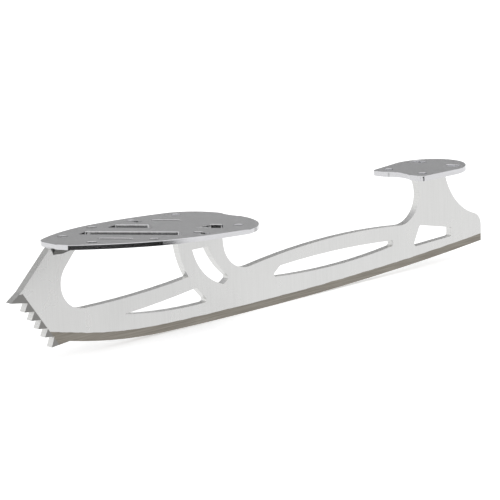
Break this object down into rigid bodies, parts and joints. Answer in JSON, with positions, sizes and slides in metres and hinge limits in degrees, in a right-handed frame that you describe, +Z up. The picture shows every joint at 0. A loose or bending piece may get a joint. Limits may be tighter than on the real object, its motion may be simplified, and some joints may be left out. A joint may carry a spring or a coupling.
{
  "type": "figure skate blade",
  "caption": "Figure skate blade with toe picks, three stanchions and a hollow-ground runner, joined to slotted sole and heel plates that screw under a boot.",
  "frame": {"origin": "where the rocker touches the ice, at mid thickness of the blade", "axes": "+X towards the heel, so the toe picks are at -X; +Z up; +Y towards the wide side of the sole plate"},
  "size_m": [0.2965, 0.0627, 0.0517],
  "materials": {
    "blade_steel": "satin nickel plate",
    "plate_steel": "plated, brushed along its length",
    "seam_solder": "silver solder, plated over and glossy"
  },
  "bodies": {
    "root": {"blade": "blade_steel", "sole_plate": "plate_steel", "heel_plate": "plate_steel", "toe_seam_left": "seam_solder", "toe_seam_right": "seam_solder", "middle_seam_left": "seam_solder", "middle_seam_right": "seam_solder", "heel_seam_left": "seam_solder", "heel_seam_right": "seam_solder"}
  },
  "joints": []
}
